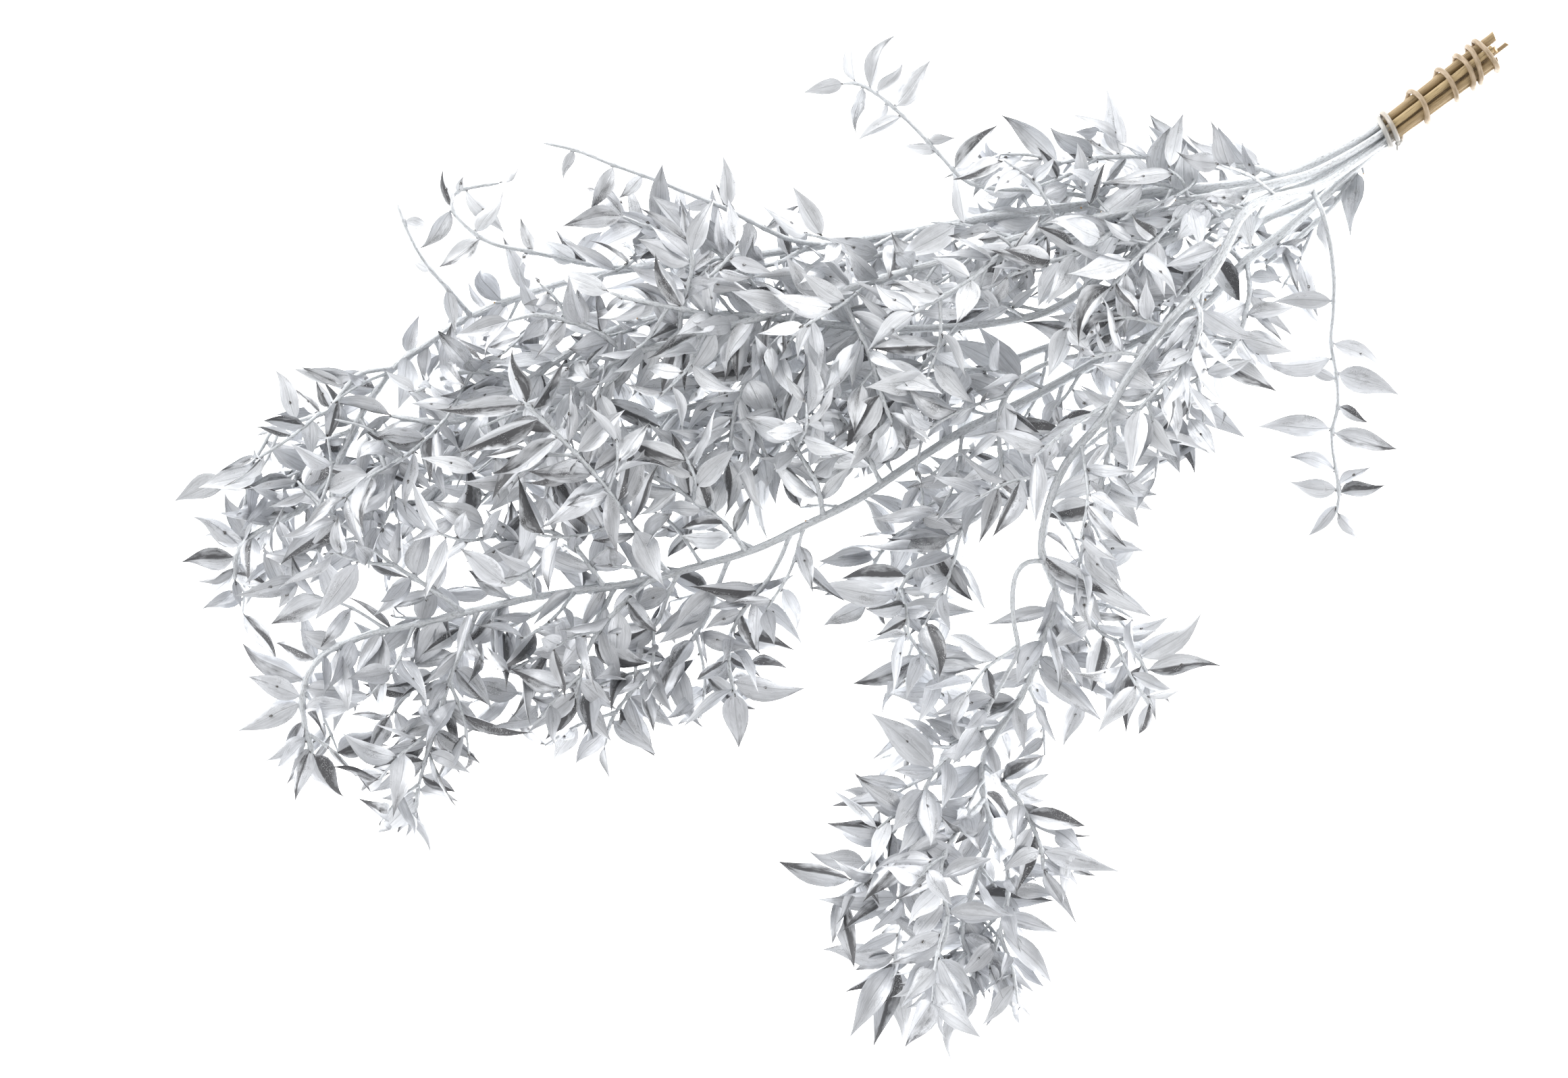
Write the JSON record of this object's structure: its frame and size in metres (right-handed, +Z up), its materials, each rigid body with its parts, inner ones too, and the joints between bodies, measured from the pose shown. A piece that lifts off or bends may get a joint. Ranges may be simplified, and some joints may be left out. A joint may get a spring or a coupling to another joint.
{
  "type": "dried ruscus stem",
  "caption": "Silver-painted dried ruscus stems with pointed leaf blades, tied near their bare cut ends with an elastic band and lying on a surface.",
  "frame": {"origin": "on the surface that the bunch lies on, under the middle of its bounding box", "axes": "+X along the bunch towards the cut ends, +Z up from the surface, +Y across, towards the side where the cut ends lie"},
  "size_m": [0.6995, 0.542, 0.1258],
  "materials": {
    "silver_painted_ruscus": "silver paint on dried leaves and stems, bare straw-coloured wood at the cut ends",
    "beige_rubber": "dull beige rubber, painted silver at its first turns"
  },
  "bodies": {
    "root": {"stem_middle": "silver_painted_ruscus", "stem_upper_arc": "silver_painted_ruscus", "stem_high": "silver_painted_ruscus", "stem_drooping": "silver_painted_ruscus", "stem_long_lower": "silver_painted_ruscus", "stem_short": "silver_painted_ruscus", "stem_low": "silver_painted_ruscus", "elastic_band": "beige_rubber"}
  },
  "joints": []
}
